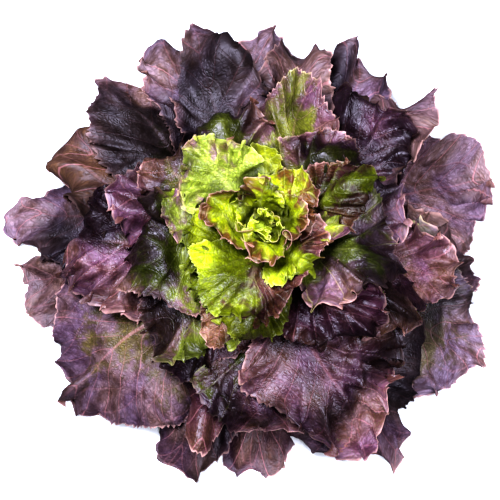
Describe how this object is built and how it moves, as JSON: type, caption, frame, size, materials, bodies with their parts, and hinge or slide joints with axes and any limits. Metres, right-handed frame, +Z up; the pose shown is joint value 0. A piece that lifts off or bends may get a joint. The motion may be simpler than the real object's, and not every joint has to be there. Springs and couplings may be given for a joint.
{
  "type": "red loose-leaf lettuce head",
  "caption": "Head of red loose-leaf lettuce: toothed, ruffled leaves nested round a short stem with a flat cut base.",
  "frame": {"origin": "centre of the flat cut across the stem", "axes": "+Z up the stem towards the heart, -Y towards the lower edge of the head as the picture shows it, +X to its right"},
  "size_m": [0.3124, 0.2768, 0.1088],
  "materials": {
    "stem": "moist, cut",
    "outer_leaf": "satin, waxy",
    "middle_leaf": "satin, waxy",
    "heart_leaf": "satin",
    "bud_leaf": "satin"
  },
  "bodies": {
    "root": {"bud_leaf_01": "bud_leaf", "bud_leaf_02": "bud_leaf", "bud_leaf_03": "bud_leaf", "bud_leaf_04": "bud_leaf", "heart_leaf_01": "heart_leaf", "heart_leaf_02": "heart_leaf", "heart_leaf_03": "heart_leaf", "heart_leaf_04": "heart_leaf", "heart_leaf_05": "heart_leaf", "heart_leaf_06": "heart_leaf", "heart_leaf_07": "heart_leaf", "heart_leaf_08": "heart_leaf", "heart_leaf_09": "heart_leaf", "heart_leaf_10": "heart_leaf", "heart_leaf_11": "heart_leaf", "heart_leaf_12": "heart_leaf", "heart_leaf_13": "heart_leaf", "heart_leaf_14": "heart_leaf", "heart_leaf_15": "heart_leaf", "heart_leaf_16": "heart_leaf", "middle_leaf_01": "middle_leaf", "middle_leaf_02": "middle_leaf", "middle_leaf_03": "middle_leaf", "middle_leaf_04": "middle_leaf", "middle_leaf_05": "middle_leaf", "middle_leaf_06": "middle_leaf", "middle_leaf_07": "middle_leaf", "middle_leaf_08": "middle_leaf", "middle_leaf_09": "middle_leaf", "middle_leaf_10": "middle_leaf", "middle_leaf_11": "middle_leaf", "middle_leaf_12": "middle_leaf", "middle_leaf_13": "middle_leaf", "middle_leaf_14": "middle_leaf", "middle_leaf_15": "middle_leaf", "middle_leaf_16": "middle_leaf", "middle_leaf_17": "middle_leaf", "middle_leaf_18": "middle_leaf", "middle_leaf_19": "middle_leaf", "outer_leaf_01": "outer_leaf", "outer_leaf_02": "outer_leaf", "outer_leaf_03": "outer_leaf", "outer_leaf_04": "outer_leaf", "outer_leaf_05": "outer_leaf", "outer_leaf_06": "outer_leaf", "outer_leaf_07": "outer_leaf", "outer_leaf_08": "outer_leaf", "outer_leaf_09": "outer_leaf", "outer_leaf_10": "outer_leaf", "outer_leaf_11": "outer_leaf", "outer_leaf_12": "outer_leaf", "outer_leaf_13": "outer_leaf", "outer_leaf_14": "outer_leaf", "outer_leaf_15": "outer_leaf", "outer_leaf_16": "outer_leaf", "outer_leaf_17": "outer_leaf", "stem": "stem"}
  },
  "joints": []
}
